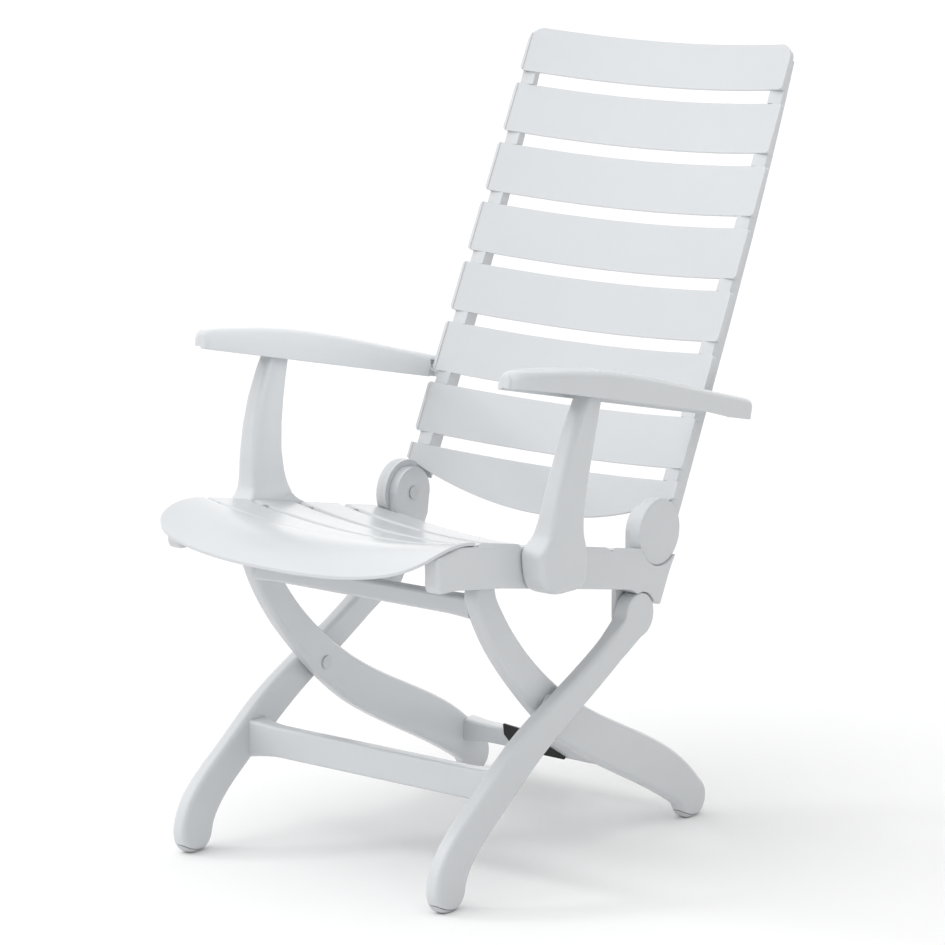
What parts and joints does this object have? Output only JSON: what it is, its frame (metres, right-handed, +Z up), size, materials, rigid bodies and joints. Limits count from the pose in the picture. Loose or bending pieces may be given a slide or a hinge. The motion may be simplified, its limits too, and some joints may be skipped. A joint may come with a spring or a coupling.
{
  "type": "folding multi-position armchair",
  "caption": "Folding high-back garden armchair in moulded resin, with slatted seat and back, crossed legs and armrests that set the recline.",
  "frame": {"origin": "on the floor, under the middle of the chair's overall box", "axes": "+Z up, the sitter faces -Y, +X is the sitter's left"},
  "size_m": [0.6108, 0.8687, 1.0826],
  "materials": {
    "slat": "smooth, slightly glossy light grey resin",
    "frame": "smooth, slightly glossy light grey resin",
    "arm": "smooth, slightly glossy light grey resin",
    "pin": "steel pins and sleeves, coated light grey",
    "glide": "satin grey foot glides",
    "black": "matte black"
  },
  "bodies": {
    "front_leg_frame": {"front_leg_left": "frame", "front_leg_right": "frame", "front_foot_glide_left": "glide", "front_foot_glide_right": "glide", "front_leg_crossbar": "frame", "leg_pivot_pin_left": "pin", "leg_pivot_pin_right": "pin", "leg_washer_left": "frame", "leg_washer_right": "frame", "seat_pivot_pin_left": "pin", "seat_pivot_pin_right": "pin"},
    "rear_leg_frame": {"rear_leg_left": "frame", "rear_leg_right": "frame", "rear_foot_glide_left": "glide", "rear_foot_glide_right": "glide", "rear_leg_upper_crossbar": "frame", "rear_leg_lower_crossbar": "frame", "transport_clip": "black"},
    "seat": {"seat_slat_1": "slat", "seat_slat_2": "slat", "seat_slat_3": "slat", "seat_slat_4": "slat", "seat_slat_5": "slat", "seat_rail_left": "frame", "seat_rail_right": "frame", "back_hinge_pin_right": "pin"},
    "back_hinge_link": {"back_hinge_pin_left": "pin"},
    "back": {"back_slat_1": "slat", "back_slat_2": "slat", "back_slat_3": "slat", "back_slat_4": "slat", "back_slat_5": "slat", "back_slat_6": "slat", "back_slat_7": "slat", "back_slat_8": "slat", "back_rail_left": "frame", "back_rail_right": "frame", "arm_stud_left": "frame", "arm_stud_right": "frame"},
    "arm_post_left": {"arm_post_left": "arm", "post_pivot_pin_left": "pin"},
    "arm_pin_left": {"arm_pivot_pin_left": "pin"},
    "arm_bush_left": {"arm_bush_left": "pin"},
    "armrest_left": {"armrest_left": "arm"},
    "arm_post_right": {"arm_post_right": "arm", "post_pivot_pin_right": "pin"},
    "arm_pin_right": {"arm_pivot_pin_right": "pin"},
    "arm_bush_right": {"arm_bush_right": "pin"},
    "armrest_right": {"armrest_right": "arm"}
  },
  "joints": [
    {"name": "leg_fold", "type": "hinge", "parent": "front_leg_frame", "child": "rear_leg_frame", "pos_m": [0, -0.11988, 0.229], "axis": [-1, 0, 0], "range_deg": [0, 73]},
    {"name": "seat_turn", "type": "hinge", "parent": "front_leg_frame", "child": "seat", "pos_m": [0, 0.05012, 0.328], "axis": [-1, 0, 0], "range_deg": [0, 105.62]},
    {"name": "back_fold", "type": "hinge", "parent": "seat", "child": "back_hinge_link", "pos_m": [0, 0.09412, 0.437], "axis": [1, 0, 0], "range_deg": [0, 102.7]},
    {"name": "recline", "type": "hinge", "parent": "back_hinge_link", "child": "back", "pos_m": [0, 0.09412, 0.437], "axis": [-1, 0, 0], "range_deg": [0, 12]},
    {"name": "post_fold_left", "type": "hinge", "parent": "seat", "child": "arm_post_left", "pos_m": [0, -0.20188, 0.452], "axis": [1, 0, 0], "range_deg": [0, 88.1]},
    {"name": "arm_fold_left", "type": "hinge", "parent": "arm_post_left", "child": "arm_pin_left", "pos_m": [0, -0.11888, 0.66], "axis": [-1, 0, 0], "range_deg": [0, 64.74]},
    {"name": "arm_track_left", "type": "hinge", "parent": "arm_pin_left", "child": "arm_bush_left", "pos_m": [0, -0.11888, 0.66], "axis": [-1, 0, 0], "range_deg": [0, 2.86]},
    {"name": "arm_lift_left", "type": "hinge", "parent": "arm_bush_left", "child": "armrest_left", "pos_m": [0, -0.11888, 0.66], "axis": [1, 0, 0], "range_deg": [0, 20]},
    {"name": "post_fold_right", "type": "hinge", "parent": "seat", "child": "arm_post_right", "pos_m": [0, -0.20188, 0.452], "axis": [1, 0, 0], "range_deg": [0, 88.1]},
    {"name": "arm_fold_right", "type": "hinge", "parent": "arm_post_right", "child": "arm_pin_right", "pos_m": [0, -0.11888, 0.66], "axis": [-1, 0, 0], "range_deg": [0, 64.74]},
    {"name": "arm_track_right", "type": "hinge", "parent": "arm_pin_right", "child": "arm_bush_right", "pos_m": [0, -0.11888, 0.66], "axis": [-1, 0, 0], "range_deg": [0, 2.86]},
    {"name": "arm_lift_right", "type": "hinge", "parent": "arm_bush_right", "child": "armrest_right", "pos_m": [0, -0.11888, 0.66], "axis": [1, 0, 0], "range_deg": [0, 20]}
  ],
  "couplings": [
    {"joint": "seat_turn", "follows": "leg_fold", "ratio": 1.44},
    {"joint": "back_fold", "follows": "leg_fold", "ratio": 1.4},
    {"joint": "post_fold_left", "follows": "leg_fold", "ratio": 1.2},
    {"joint": "arm_fold_left", "follows": "leg_fold", "ratio": 0.88},
    {"joint": "arm_track_left", "follows": "recline", "ratio": 0.23},
    {"joint": "post_fold_right", "follows": "leg_fold", "ratio": 1.2},
    {"joint": "arm_fold_right", "follows": "leg_fold", "ratio": 0.88},
    {"joint": "arm_track_right", "follows": "recline", "ratio": 0.23}
  ]
}
